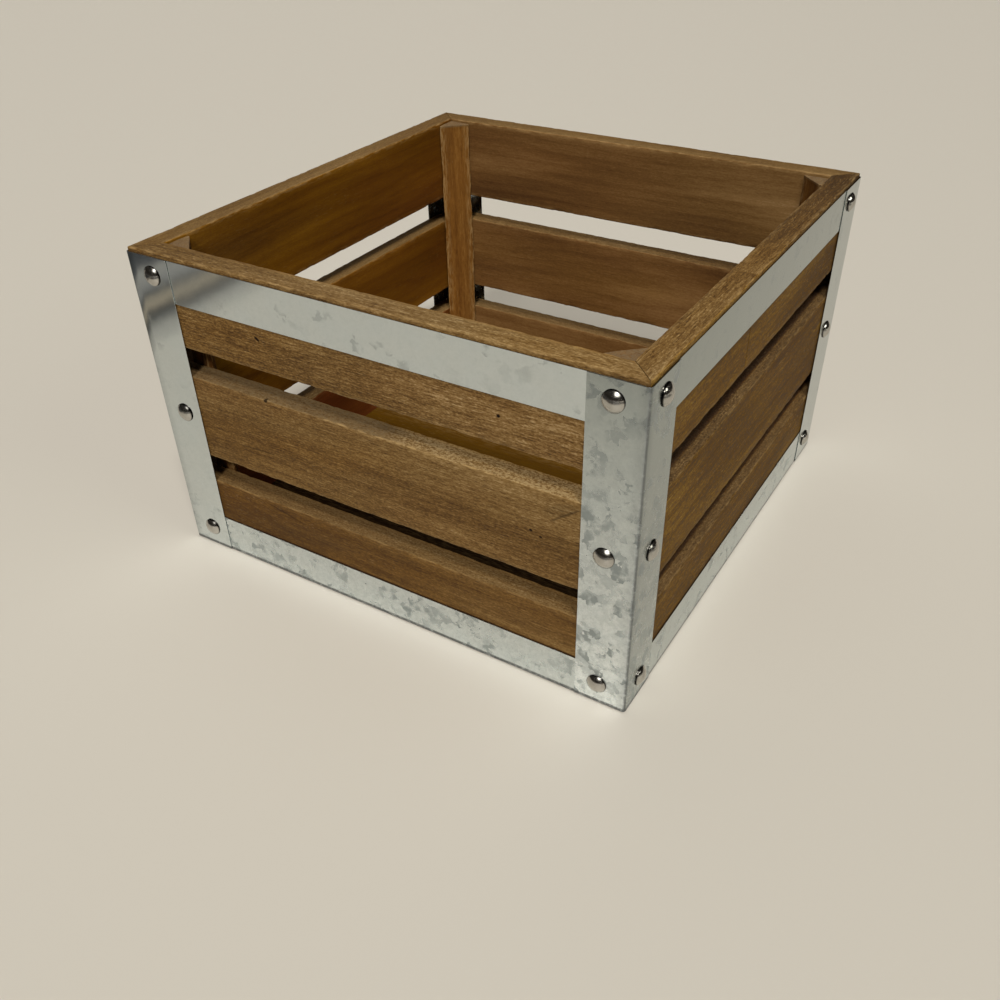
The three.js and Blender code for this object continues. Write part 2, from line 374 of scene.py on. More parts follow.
def woodFinish(name, look):
    material, tree, shader = newFinish(name)
    grain = read(tree, "grain", "Vector")
    rings = read(tree, "rings", "Vector")
    wear = read(tree, "wear")
    sawn = read(tree, "sawn")
    rough = read(tree, "rough")

    # one light-to-dark value from the layers of figure
    value = calc(tree, "ADD", read(tree, "tone"), 0.5)
    for number, (size, share) in enumerate(look["broad"]):
        figure = cloud(tree, grain, size, shift=11 * number + 3, detail=3, rough=0.55, bend=0.3)
        value = swing(tree, figure, share, value)
    fibre = 0
    for number, (size, share) in enumerate(look["fine"]):
        thread = cloud(tree, grain, size, shift=11 * number + 37, rough=0.6, bend=0.3)
        fibre = swing(tree, thread, share, fibre)
    fibre = times(tree, fibre, rough)
    value = calc(tree, "ADD", value, fibre)
    across = vector(tree, "MULTIPLY", rings, (0, 1, 1)).outputs[0]
    radius = vector(tree, "LENGTH", across).outputs["Value"]
    sway = cloud(tree, grain, look["sway"], shift=41)
    swayed = calc(tree, "MULTIPLY_ADD", sway, look["swayReach"], radius)
    ring = calc(tree, "FRACT", calc(tree, "DIVIDE", swayed, look["ringWidth"]))
    start, darkest = look["lateWood"]
    late = times(tree, span(tree, ring, start, darkest), span(tree, ring, darkest, 1, 1, 0))
    value = calc(tree, "MULTIPLY_ADD", late, -look["ringDark"], value)
    crumb = cloud(tree, grain, look["crumb"], shift=67, rough=0.6)
    loose = times(tree, calc(tree, "SUBTRACT", crumb, 0.5), sawn)
    value = calc(tree, "MULTIPLY_ADD", loose, look["crumbShare"], value)
    drift = cloud(tree, grain, look["drift"], shift=131)
    stain = swing(tree, drift, look["driftShare"], read(tree, "stain"))
    stain = bands(tree, calc(tree, "MULTIPLY_ADD", stain, look["stainStep"], 0.5), look["stains"])
    colour = tint(tree, 1, bands(tree, value, look["tones"]), stain, "MULTIPLY")

    # dust on the ledges, pale flecks of raised fibre partly painted as highlights, dark open pores, worn
    # edges and small flaws
    dusty = times(tree, read(tree, "dust"), span(tree, crumb, *look["dustRise"], look["dustLeast"], 1))
    colour = tint(tree, dusty, colour, look["dust"])
    # painted highlight on the pale flecks, where raised fibre also gets a bump
    glintFleck = times(tree, patches(tree, grain, look["glintFleck"]), patches(tree, grain, look["fleckPatch"]))
    glintFleck = times(tree, glintFleck, rough)
    colour = tint(tree, times(tree, glintFleck, look["glintFleckShare"]), colour, look["worn"])
    pore = times(tree, patches(tree, grain, look["pore"]), rough)
    colour = tint(tree, times(tree, pore, look["poreShare"]), colour, look["hole"])
    colour = tint(tree, times(tree, wear, patches(tree, grain, look["rub"])), colour, look["worn"])
    place = node(tree, "TexCoord").outputs["Object"]
    for x, z, length, width, angle, strength in look["marks"]:
        spot = {
            "Vector": place,
            "Location": (x * mm, look["markFace"] * mm, z * mm),
            "Rotation": (0, math.radians(angle), 0),
            "Scale": (length * mm, look["markDepth"] * mm, width * mm),
        }
        inside = node(tree, "Mapping", spot, vector_type="TEXTURE").outputs[0]
        reach = vector(tree, "LENGTH", inside).outputs["Value"]
        colour = tint(tree, span(tree, reach, look["markEdge"], 1, strength, 0), colour, look["hole"])

    tree.links.new(colour, shader.inputs["Base Color"])
    tree.links.new(span(tree, fibre, *look["fibreSwing"], *look["roughness"]), shader.inputs["Roughness"])
    shader.inputs["Specular IOR Level"].default_value = look["specular"]
    height = 0
    for layer, share in zip((fibre, glintFleck, pore, loose), look["reliefShares"]):
        height = calc(tree, "MULTIPLY_ADD", layer, share, height)
    relief = {"Height": height, "Distance": look["relief"], "Strength": look["reliefStrength"]}
    tree.links.new(node(tree, "Bump", relief).outputs[0], shader.inputs["Normal"])
    return material


# Galvanised sheet: zinc with irregular spangle flakes, and nickel-plated nails

zincSet = {
    "colour": (0.90, 0.97, 1.0, 1),
    "dark": (0.31, 0.35, 0.36, 1),
    "pale": (0.94, 0.98, 0.98, 1),
    "dullAndShaded": (0.33, 0.365, 0.35, 1),
    "creaseAndShadow": (0.15, 0.16, 0.165, 1),
    "flake": 6,                # mm across
    "bend": 11.25,             # mm that noise bends the flakes' outlines
    "bendScale": 0.21,
    "crowd": (30, 30),         # where dark flakes gather
    "crowdShare": 0.8,
    "darkFrom": (0.93, 1.09),  # chance from which a flake is dark
    "darkRise": (0, 0.5, 0.35, 1),             # spangle from and to, and how dark the flakes are there
    "deep": (0.3, 0.95),       # the palest and the darkest flake
    "worn": {"size": (6, 6), "shift": 17, "detail": 3, "rough": 0.55, "rise": (0.38, 0.6)},
    "cloudy": {"size": (14, 14), "shift": 59, "detail": 3, "rise": (0.35, 0.65), "share": (0, 0.4)},
    "mottle": {
        "size": (3, 3), "shift": 37, "detail": 4, "rough": 0.65, "rise": (0.4, 0.62), "share": (0, 0.42),
    },
    "grit": {
        "size": (0.9, 0.9), "shift": 61, "detail": 3, "rough": 0.7, "rise": (0.45, 0.75), "share": (0, 0.28),
    },
    "gritRise": (0, 0.6, 0.35, 1),
    "vein": {"size": (9, 9), "shift": 47, "detail": 2, "rise": (0.48, 0.62)},
    "veinWidth": 0.05,         # share of a flake
    "veinRise": (0.3, 0.65, 0.05, 0.5),
    "rub": {"size": (2, 2), "shift": 53, "detail": 3, "rise": (0.25, 0.55), "share": (0.5, 0.95)},
    "roughness": 0.06,
    "flakeRough": 0.16,        # added on a dark flake
    "frostRough": 0.3,         # added where the whole sheet is frosted
    "ripple": 0.05 * mm,
    "rippleSize": (18, 18),
}

nickelSet = {
    "colour": (0.47, 0.455, 0.42, 1),
    "stain": (0.35, 0.335, 0.30, 1),
    # painted shadow round the foot of the head
    "rimShadow": (0.05, 0.045, 0.04, 1),
    "tarnish": (1.6, 1.6),
    "stainRise": (0.5, 0.8),
    "roughRise": (0.4, 0.75),
    "roughness": (0.15, 0.24),
}


def zincFinish(name, look):
    material, tree, shader = newFinish(name)
    sheet = read(tree, "sheet", "Vector")
    flakes = read(tree, "flakes")
    bending = {"Vector": sheet, "Scale": look["bendScale"], "Detail": 3, "Roughness": 0.55}
    bent = node(tree, "TexNoise", bending).outputs["Color"]
    bent = vector(tree, "SUBTRACT", bent, (0.5, 0.5, 0.5)).outputs[0]
    bent = vector(tree, "MULTIPLY_ADD", bent, [look["bend"]] * 3, sheet).outputs[0]
    cells = {"Vector": bent, "Scale": 1 / look["flake"]}
    chance = node(tree, "SeparateColor", {0: node(tree, "TexVoronoi", cells).outputs["Color"]}).outputs
    rim = node(tree, "TexVoronoi", cells, feature="DISTANCE_TO_EDGE").outputs["Distance"]

    # how many flakes turn dark follows the sheet, and noise wears each one away on a side
    crowd = cloud(tree, sheet, look["crowd"], shift=7, rough=0.6)
    crowd = swing(tree, crowd, look["crowdShare"], flakes)
    chosen = span(tree, calc(tree, "ADD", chance["Red"], crowd), *look["darkFrom"])
    chosen = times(tree, chosen, patches(tree, sheet, look["worn"]))
    chosen = times(tree, chosen, span(tree, flakes, *look["darkRise"]))

    # bare zinc, then the dull zinc with its painted darker reflection, what is mottled, gritty, dark and
    # veined, and last the rubbed fold with the painted shadow along the foot
    shade = tint(tree, patches(tree, sheet, look["cloudy"]), look["colour"], look["pale"])
    # dull zinc, and painted darker reflection on the sheets that face right and up the near angle
    shade = tint(tree, read(tree, "dullAndShaded"), shade, look["dullAndShaded"])
    shade = tint(tree, times(tree, patches(tree, sheet, look["mottle"]), flakes), shade, look["dark"])
    grit = times(tree, patches(tree, sheet, look["grit"]), span(tree, flakes, *look["gritRise"]))
    shade = tint(tree, grit, shade, look["dark"])
    deep = span(tree, chance["Blue"], 0, 1, *look["deep"])
    shade = tint(tree, times(tree, chosen, deep), shade, look["dark"])
    vein = times(tree, span(tree, rim, 0, look["veinWidth"], 1, 0), patches(tree, sheet, look["vein"]))
    vein = times(tree, vein, span(tree, flakes, *look["veinRise"]))
    shade = tint(tree, vein, shade, look["pale"])
    # the scuffed fold, and the painted shadow along the foot
    rubbedAndShaded = times(tree, read(tree, "creaseAndShadow"), patches(tree, sheet, look["rub"]))
    shade = tint(tree, rubbedAndShaded, shade, look["creaseAndShadow"])

    tree.links.new(shade, shader.inputs["Base Color"])
    shader.inputs["Metallic"].default_value = 1
    rough = calc(tree, "MULTIPLY_ADD", chosen, look["flakeRough"], look["roughness"])
    rough = calc(tree, "MULTIPLY_ADD", flakes, look["frostRough"], rough)
    tree.links.new(rough, shader.inputs["Roughness"])
    ripple = cloud(tree, sheet, look["rippleSize"], shift=29)
    bump = node(tree, "Bump", {"Height": ripple, "Distance": look["ripple"], "Strength": 1})
    tree.links.new(bump.outputs[0], shader.inputs["Normal"])
    return material


def nickelFinish(name, look):
    material, tree, shader = newFinish(name)
    place = node(tree, "TexCoord").outputs["Object"]
    inMm = node(tree, "VectorMath", {0: place, "Scale": 1 / mm}, operation="SCALE").outputs[0]
    tarnish = cloud(tree, inMm, look["tarnish"], shift=5, detail=4, rough=0.6)
    shade = tint(tree, span(tree, tarnish, *look["stainRise"]), look["colour"], look["stain"])
    shade = tint(tree, read(tree, "rimShadow"), shade, look["rimShadow"])
    tree.links.new(shade, shader.inputs["Base Color"])
    shader.inputs["Metallic"].default_value = 1
    tree.links.new(span(tree, tarnish, *look["roughRise"], *look["roughness"]), shader.inputs["Roughness"])
    return material


# Shared steps for every piece

def turnTo(index):
    return Matrix.Rotation(index * math.pi / 2, 4, "Z")


def frontBox(name, index):                    # a node's box, turned back to the front wall
    ends = [turnTo(index).inverted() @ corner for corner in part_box(name)]
    return Vector(map(min, *ends)), Vector(map(max, *ends))


def limit(value):
    return max(0.0, min(1.0, value))


def newBlock(lo, hi):
    bm = bmesh.new()
    middle = Matrix.Translation((lo + hi) / 2)
    bmesh.ops.create_cube(bm, size=1, matrix=middle @ Matrix.Diagonal((*(hi - lo), 1)))
    return bm


def edgesAlong(bm, axis, least):              # edges that run along an axis by more than the least length
    return [edge for edge in bm.edges if abs(edge.verts[0].co[axis] - edge.verts[1].co[axis]) > least]


def roundEdges(bm, edges, width, steps):
    bmesh.ops.bevel(bm, geom=edges, offset=width, segments=steps, profile=0.5, affect="EDGES", material=-1)


def raiseNew(bm, grown, height):              # lifts what was just extruded
    newVerts = [part for part in grown["geom"] if isinstance(part, bmesh.types.BMVert)]
    bmesh.ops.translate(bm, verts=newVerts, vec=(0, 0, height))
    bmesh.ops.recalc_face_normals(bm, faces=bm.faces)


def cutLoop(bm, place, across, drop=False):     # a loop of edges where a plane crosses, or an open end
    everything = bm.verts[:] + bm.edges[:] + bm.faces[:]
    cut = bmesh.ops.bisect_plane(bm, geom=everything, dist=tiny / 10, plane_co=place, plane_no=across,
                                 clear_outer=drop)
    return [part for part in cut["geom_cut"] if isinstance(part, bmesh.types.BMEdge)]


def closeEnd(bm, rim):
    bmesh.ops.edgeloop_fill(bm, edges=rim)
    for edge in rim:
        edge.smooth = False


def finishPiece(bm, name, index, material, node):
    bmesh.ops.transform(bm, matrix=turnTo(index), verts=bm.verts)
    for face in bm.faces:
        face.smooth = True
    mesh = bpy.data.meshes.new(name)
    bm.to_mesh(mesh)
    bm.free()
    mesh.materials.append(material)
    piece = bpy.data.objects.new(name, mesh)
    scene.collection.objects.link(piece)
    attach(piece, "root")
    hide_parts(node)
    return piece


# Wooden pieces: a bar along its grain, with eased and slightly worn long edges

grainSet = {
    "start": 400,              # mm, at most, so that each board shows other figure
    "heart": (25, 75),         # mm to the middle of the tree
    "slope": 0.05,
    "nextLength": (40, 90),    # mm that the figure jumps at a butt joint
}

roughSet = {
    "drift": (7.31, 3.17, 1.93),               # sets the pieces' noise apart
    "chipShare": 0.6,
    "nickGain": 1.3,
    "arris": 1.5,              # eases over which a long edge is worn
}


def markGrain(bm, seed, along, paint, joint=None):
    draw = random.Random(seed)
    vectors = {name: bm.verts.layers.float_vector.new(name) for name in ("grain", "rings")}
    amounts = {name: bm.verts.layers.float.new(name) for name in paint}
    reach, slant = grainSet["start"], grainSet["slope"]
    start = Vector([draw.uniform(-reach, reach) for axis in range(3)])
    turn = Matrix.Rotation(draw.uniform(0, 2 * math.pi), 3, "X")
    heart = turn @ Vector((0, draw.uniform(*grainSet["heart"]), 0))
    slope = Vector((0, draw.uniform(-slant, slant), draw.uniform(-slant, slant)))
    nextLength = Vector([draw.uniform(*grainSet["nextLength"]) for axis in range(3)])
    for vert in bm.verts:
        place = along @ vert.co / mm
        if joint is not None and vert.co.x > joint:
            place += nextLength
        vert[vectors["grain"]] = place + start
        vert[vectors["rings"]] = place + heart + slope * place.x
        for name, amount in paint.items():
            vert[amounts[name]] = amount(vert.co) if callable(amount) else amount


def roughen(bm, seed, look, wearAt):          # sanded flats are never quite flat, and arrises are nicked
    shift = Vector([seed * step for step in roughSet["drift"]])
    length, width = look["waveLength"], look["waveWidth"]
    bm.normal_update()
    moves = []
    for vert in bm.verts:
        place = Vector((vert.co.x / length, vert.co.y / width, vert.co.z / width))
        wave = look["wave"] * (0.5 + 0.5 * noise.noise(place + shift))
        chip = noise.noise(vert.co / look["nickLength"] + shift)
        chip += roughSet["chipShare"] * noise.noise(vert.co / look["chipLength"] + shift)
        nick = look["nick"] * limit(chip * roughSet["nickGain"]) * wearAt(vert.co)
        moves.append(vert.normal * -(wave + nick))
    for vert, move in zip(bm.verts, moves):
        vert.co += move


def arrisAt(place, lo, hi, ease):             # 1 on a bar's long edges, and 0 a little way from them
    across = min(place.y - lo.y, hi.y - place.y) + min(place.z - lo.z, hi.z - place.z)
    return limit(roughSet["arris"] - across / ease)


slatSet = {
    "ease": 0.6 * mm,
    "easeSteps": 4,
    "lengthCuts": 200,
    "mitreClose": 0.12 * mm,   # longer at each end, so that the mitres close to a hairline
    "edgeRow": 2.4 * mm,       # first row of faces beside an arris
    "faceRows": 5,
    "wave": 0.14 * mm,
    "waveLength": 45 * mm,
    "waveWidth": 14 * mm,
    "nick": 0.4 * mm,
    "nickLength": 8 * mm,
    "chipLength": 2.6 * mm,
    "torn": {"slat_front_middle": (-24 * mm, 62 * mm)},       # splinters gone from the upper front arris
    "tornWear": 1.6,
    "tornReach": 1.2 * mm,
    "lowWear": 0.6,            # below the rim, where hands don't rub
    "joints": {"slat_right_top": -22.8 * mm},  # butt joints along a slat's length
    "jointWidth": 0.3 * mm,
    "jointMiddle": 0.06 * mm,
    "jointDepth": 0.6 * mm,
    "reveal": 2.4 * mm,        # darker this far below the rim, down to the band
    "revealTone": -0.22,
    "bandShadowLine": (0.4 * mm, 0.9 * mm),         # painted shadow above the lower band, and where it has faded
    "bandShadowTone": -0.45,
    "ledgeShadowLine": (4.3 * mm, 5.5 * mm),          # how far in the right wall's ledges are painted with light, and from where they are painted with dark red shadow
    "ledgeLightTone": 0.25,
    "ledgeShadowTone": -0.6,
    "ledgeShadowStain": -1.8,
    "lift": {                  # of the sawn edges, paler or darker than the face
        "front": ((0.12, 0.12), (0.12, 0.24), (-0.02, 0.16)),
        "right": ((-0.05, -0.05), (-0.07, -0.07), (0.07, -0.055)),
        "back": ((0.04, 0.04), (0.05, 0.05), (0.05, 0.05)),
        "left": ((0.04, 0.04), (0.05, 0.05), (0.05, 0.05)),
    },
    "crumble": {               # of the sawn edges, from the bottom slat to the rim
        "front": (0.8, 1.5, 0.25), "right": (0.8, 1.2, 0.2),
        "back": (0.5, 0.6, 0.3), "left": (0.5, 0.6, 0.3),
    },
    "innerRough": 0.3,
    "rough": {
        "front": (0.7, 0.9, 1.1), "right": (1.1, 1.2, 1.1),
        "back": (0.7, 0.9, 0.6), "left": (0.9, 0.6, 0.8),
    },
    "figure": {                # outside and inside
        "front": (0.05, 0.18), "right": (0.16, 0.18), "back": (0.1, 0.2), "left": (0.1, 0.18),
    },
    "figureLength": 70 * mm,
    "figureWidth": 22 * mm,
    "tones": {                 # at the left and right ends, from the bottom slat to the rim: the wood's own tone, with painted light on the front and right walls, brighter towards the near corner
        "front": ((-0.18, 0.06), (-0.05, 0.12), (0.03, 0.12)),
        "right": ((-0.1, -0.1), (-0.13, -0.13), (0.06, -0.18)),
        "back": ((-0.02, 0.02), (-0.01, 0.09), (0.05, -0.03)),
        "left": ((0.05, 0.0), (-0.02, 0.04), (-0.06, 0.03)),
    },
    "dust": {                  # on the upper edges, left and right of the middle
        "front": ((0.35, 0.25), (0.8, 0.04), (0.1, 0.0)), "right": ((0.5, 0.5), (0.5, 0.55), (0.0, 0.15)),
        "back": ((0.3, 0.3), (0.3, 0.2), (0.1, 0.1)), "left": ((0.3, 0.3), (0.2, 0.3), (0.1, 0.1)),
    },
    "dustMiddle": 12 * mm,
    "dustTurn": 14 * mm,
    "stains": {                # outside a wall, at the left and right ends, from the bottom slat to the rim
        "front": ((-0.45, -0.05), (0.05, 0.0), (-0.15, 0.12)), "right": ((2.0, 2.0), (2.0, 2.0), (1.9, 2.0)),
        "back": ((-0.1, 0.1), (0.1, -0.2), (-0.1, 0.0)), "left": ((0.1, -0.1), (-0.2, 0.0), (0.0, 0.1)),
    },
    "inStains": {
        "front": ((-0.3, -0.3), (-0.3, -0.3), (-0.3, -0.3)),
        "right": ((-0.2, -0.2), (-0.2, -0.2), (-0.2, -0.2)),
        "back": ((0.9, 0.9), (1.0, 1.0), (0.4, 1.0)),
        "left": ((-1.6, -2.0), (-1.2, -1.0), (-1.35, -0.85)),
    },
}


def makeSlat(index, level, material):
    wall = walls[index]
    name = f"slat_{wall}_{levels[level]}"
    seed = seeds["slat"] + 10 * index + level
    isLowest = levels[level] == "bottom"
    isRim = levels[level] == "top"
    ease, edgeRow = slatSet["ease"], slatSet["edgeRow"]
    lit, deep = slatSet["ledgeShadowLine"]
    lo, hi = frontBox(name, index)
    lo.x -= slatSet["mitreClose"]
    hi.x += slatSet["mitreClose"]
    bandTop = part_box(f"band_{walls[index]}_bottom")[1].z

    bm = newBlock(lo, hi)
    roundEdges(bm, edgesAlong(bm, 0, ease), ease, slatSet["easeSteps"])
    step = (hi.z - lo.z - 2 * edgeRow) / slatSet["faceRows"]
    for row in range(slatSet["faceRows"] + 1):
        cutLoop(bm, (0, 0, lo.z + edgeRow + row * step), (0, 0, 1))
    for inner in (lo.y + edgeRow, lo.y + lit, lo.y + deep, hi.y - edgeRow):
        cutLoop(bm, (0, inner, 0), (0, 1, 0))
    if isLowest:
        for height in (0, *slatSet["bandShadowLine"]):
            cutLoop(bm, (0, 0, bandTop + height), (0, 0, 1))
    lengthwise = edgesAlong(bm, 0, ease)
    bmesh.ops.subdivide_edges(bm, edges=lengthwise, cuts=slatSet["lengthCuts"], use_grid_fill=True)
    for end in (lo.x, hi.x):                  # mitred from the outer face
        closeEnd(bm, cutLoop(bm, (end, lo.y, 0), (math.copysign(1, end), 1, 0), drop=True))
    joint = slatSet["joints"].get(name)
    if joint is not None:
        for side in (-1, 0, 1):
            cutLoop(bm, (joint + side * slatSet["jointWidth"], 0, 0), (1, 0, 0))

    def along(ends, place):                   # a value that goes from the left end's to the right end's
        start, end = ends[wall][level]
        return start + (end - start) * (place.x - lo.x) / (hi.x - lo.x)

    def arris(place):
        return arrisAt(place, lo, hi, ease)

    def edge(place):
        return limit(1 - min(place.z - lo.z, hi.z - place.z) / ease)

    def ledgeShadowDepth(place):
        return limit((place.y - lo.y - lit) / (deep - lit))

    def isInside(place):
        return place.y > hi.y - ease

    def isOutside(place):
        return place.y < lo.y + ease

    def isLedge(place):
        return wall == "right" and not isRim and hi.z - place.z < ease

    # the wood's tone, with painted light along the slats and painted shade above the lower band and in the
    # right wall's ledges
    def toneAndShade(place):
        tone = along(slatSet["tones"], place) + along(slatSet["lift"], place) * edge(place)
        if isRim and isOutside(place) and ease < hi.z - place.z < slatSet["reveal"] + ease:
            tone += slatSet["revealTone"]
        # painted shadow on the wood just above the lower band
        if isLowest and isOutside(place):
            shadeFull, shadeFaded = slatSet["bandShadowLine"]
            tone += slatSet["bandShadowTone"] * limit((shadeFaded + bandTop - place.z) / (shadeFaded - shadeFull))
        # painted light on the outer part of the right wall's ledges, and painted dark shadow further in
        if isLedge(place):
            tone += slatSet["ledgeLightTone"] * limit((place.y - lo.y) / lit)
            tone += slatSet["ledgeShadowTone"] * ledgeShadowDepth(place)
        figure = Vector((place.x / slatSet["figureLength"], seed, place.z / slatSet["figureWidth"]))
        return tone + slatSet["figure"][wall][isInside(place)] * noise.noise(figure)

    def worn(place):
        start, end = slatSet["torn"].get(name, (0, 0))
        reach = slatSet["tornReach"]
        if start < place.x < end and place.y < lo.y + reach and hi.z - place.z < reach:
            return slatSet["tornWear"] * arris(place)
        return arris(place) * (1 if isRim else slatSet["lowWear"])

    def crumbly(place):
        return edge(place) * slatSet["crumble"][wall][level]

    def dusty(place):
        start, end = slatSet["dust"][wall][level]
        turned = limit(0.5 + (place.x - slatSet["dustMiddle"]) / slatSet["dustTurn"])
        return (start + (end - start) * turned) * limit(1 - (hi.z - place.z) / ease)

    def rough(place):
        return slatSet["innerRough"] if isInside(place) else slatSet["rough"][wall][level]

    def stained(place):
        if isOutside(place):
            return along(slatSet["stains"], place)
        # painted shadow also turns the deep part of the right wall's ledges red
        if isLedge(place) and not isInside(place):
            return slatSet["ledgeShadowStain"] * ledgeShadowDepth(place)
        return along(slatSet["inStains"], place) * isInside(place)

    paint = {"tone": toneAndShade, "wear": worn, "sawn": crumbly, "dust": dusty, "rough": rough, "stain": stained}
    markGrain(bm, seed, Matrix.Identity(3), paint, joint)
    roughen(bm, seed, slatSet, arris)
    if joint is not None:
        for vert in bm.verts:
            if abs(vert.co.x - joint) < slatSet["jointMiddle"]:
                vert.co -= vert.normal * slatSet["jointDepth"]
    finishPiece(bm, "wood_" + name, index, material, name)


postSet = {
    "blunt": 1.2 * mm,         # flat on the sharp edges
    "ease": 0.55 * mm,
    "easeSteps": 3,
    "heightCuts": 90,
    "faceRows": 5,             # across the face inside the crate
    "rowsReach": 0.8,          # share of that face
    "wave": 0.9 * mm,
    "waveLength": 12 * mm,     # across the post
    "waveWidth": 24 * mm,      # up the post
    "nick": 0.5 * mm,
    "nickLength": 9 * mm,
    "chipLength": 3 * mm,
    "tones": (0.0, -0.16, 0.0, -0.3),          # in the order of the corners; the back-right and front-left posts are painted darker as shade
    "stains": (-0.15, 0.1, -0.15, -0.15),
    "rough": 0.7,
    "arris": 1.6,
    "top": 1 * mm,             # height of the sawn end's paint
    "topDust": 0.9,
    "topLift": 0.1,
}


def makePost(index, material):
    name = f"corner_post_{corners[index]}"
    seed = seeds["post"] + index
    lo, hi = frontBox(name, index)
    blunt = postSet["blunt"]
    bm = bmesh.new()
    outline = ((hi.x, lo.y), (hi.x, hi.y), (hi.x - blunt, hi.y), (lo.x, lo.y + blunt), (lo.x, lo.y))
    foot = bm.faces.new([bm.verts.new((x, y, lo.z)) for x, y in outline])
    raiseNew(bm, bmesh.ops.extrude_face_region(bm, geom=[foot]), hi.z - lo.z)
    roundEdges(bm, edgesAlong(bm, 2, blunt), postSet["ease"], postSet["easeSteps"])
    middle = Vector(((lo.x + hi.x) / 2, (lo.y + hi.y) / 2, 0))
    for row in range(1, postSet["faceRows"]):
        along = (row / postSet["faceRows"] - 0.5) * postSet["rowsReach"]
        cutLoop(bm, middle + Vector((1, 1, 0)) * along * (hi.x - lo.x), (1, 1, 0))
    upright = edgesAlong(bm, 2, blunt)
    bmesh.ops.subdivide_edges(bm, edges=upright, cuts=postSet["heightCuts"], use_grid_fill=True)
    for edge in bm.edges:
        if all(hi.z - vert.co.z < tiny for vert in edge.verts):
            edge.smooth = False

    def arris(place):
        ends = [Vector((end.x, end.y, place.z)) for end in (lo, hi)]
        reach = min((place - end).length for end in ends)
        return limit(postSet["arris"] - reach / (2 * blunt))

    def top(place):
        return limit(1 - (hi.z - place.z) / postSet["top"])

    def dusty(place):
        return postSet["topDust"] * top(place)

    # painted shade on the shaded posts' faces, and the sawn top's own tone
    def toneAndShade(place):
        return postSet["tones"][index] * (1 - top(place)) + postSet["topLift"] * top(place)

    paint = {"tone": toneAndShade, "wear": arris, "sawn": top, "dust": dusty,
             "rough": postSet["rough"], "stain": postSet["stains"][index]}
    markGrain(bm, seed, Matrix.Rotation(math.pi / 2, 3, "Y"), paint)
    roughen(bm, seed, postSet, arris)
    finishPiece(bm, "wood_" + name, index, material, name)


boardSet = {
    "ease": 1 * mm,
    "easeSteps": 3,
    "lengthCuts": 60,
    "faceRows": 4,
    "wave": 0.12 * mm,
    "waveLength": 50 * mm,
    "waveWidth": 20 * mm,
    "nick": 0.2 * mm,
    "nickLength": 8 * mm,
    "chipLength": 3 * mm,
    "tones": (-0.55, -0.09, -0.03, -0.01, -0.03),             # from the front to the back; the front board is painted dark as shade under the front wall
    "rough": 0.6,
    "cutEnd": 1 * mm,
}


def makeBoard(number, material):
    name = f"floor_board_{number + 1}"
    seed = seeds["board"] + number
    lo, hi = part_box(name)
    ease = boardSet["ease"]
    bm = newBlock(lo, hi)
    roundEdges(bm, edgesAlong(bm, 0, ease), ease, boardSet["easeSteps"])
    for row in range(1, boardSet["faceRows"]):
        cutLoop(bm, (0, lo.y + (hi.y - lo.y) * row / boardSet["faceRows"], 0), (0, 1, 0))
    lengthwise = edgesAlong(bm, 0, ease)
    bmesh.ops.subdivide_edges(bm, edges=lengthwise, cuts=boardSet["lengthCuts"], use_grid_fill=True)
    for edge in bm.edges:
        if all(min(vert.co.x - lo.x, hi.x - vert.co.x) < tiny for vert in edge.verts):
            edge.smooth = False

    def arris(place):
        return arrisAt(place, lo, hi, ease)

    def cutEnd(place):
        return limit(1 - min(place.x - lo.x, hi.x - place.x) / boardSet["cutEnd"])

    # the front board's dark tone is painted shade
    paint = {"tone": boardSet["tones"][number], "wear": arris, "sawn": cutEnd, "dust": 0.0,
             "rough": boardSet["rough"], "stain": 0.0}
    markGrain(bm, seed, Matrix.Identity(3), paint)
    roughen(bm, seed, boardSet, arris)
    finishPiece(bm, "wood_" + name, 0, material, name)


# Sheet metal: flat bands, and angles bent round the corners over the bands' ends

sheetSet = {
    "thickness": 0.3 * mm,
    "edge": 0.1 * mm,          # rounding of the sheared edges
    "edgeSteps": 2,
    "edgeAngle": 60,           # degrees from which an edge is sheared
    "bend": 1.3 * mm,          # outside radius of the bend
    "bendSteps": 8,
    "foldReach": 1.25,         # bends over which the fold is scuffed
    "facesAcross": 6,
    "faceLength": 4 * mm,
    "start": 300,              # mm, at most, so that each sheet shows other spangle
    "wave": 0.05 * mm,
    "waveLength": 35 * mm,
    "waveShift": 20,
    "footShadow": (1.9 * mm, 2.5 * mm),          # painted shadow along the foot of the sheets, and where it has faded
    "flakes": {                # spangle at the foot and at the rim
        "corner_angle_front_right": (0.62, 0.34), "corner_angle_front_left": (0.24, 0.03),
        "corner_angle_back_right": (0.22, 0.12), "corner_angle_back_left": (0.5, 0.3),
        "band_front": (0.5, 0.1), "band_right": (0.36, 0.2),
        "band_back": (0.35, 0.25), "band_left": (0.4, 0.2),
    },
    "dullAndShaded": {                  # at the foot and at the rim, on a band or an angle's two legs: dull zinc with painted darker reflection
        "corner_angle_front_right": ((0.0, 0.85), (0.85, 1.0)),
        "corner_angle_front_left": ((0.88, 0.95), (0.4, 0.5)),
        "corner_angle_back_right": ((0.7, 0.8), (0.4, 0.5)),
        "corner_angle_back_left": ((0.5, 0.6), (0.4, 0.5)),
        "band_front": ((0.4, 0.42),), "band_right": ((0.75, 1.0),),
        "band_back": ((0.4, 0.5),), "band_left": ((0.4, 0.5),),
    },
}


def noFold(place):
    return 0.0


def oneLeg(place):
    return 0


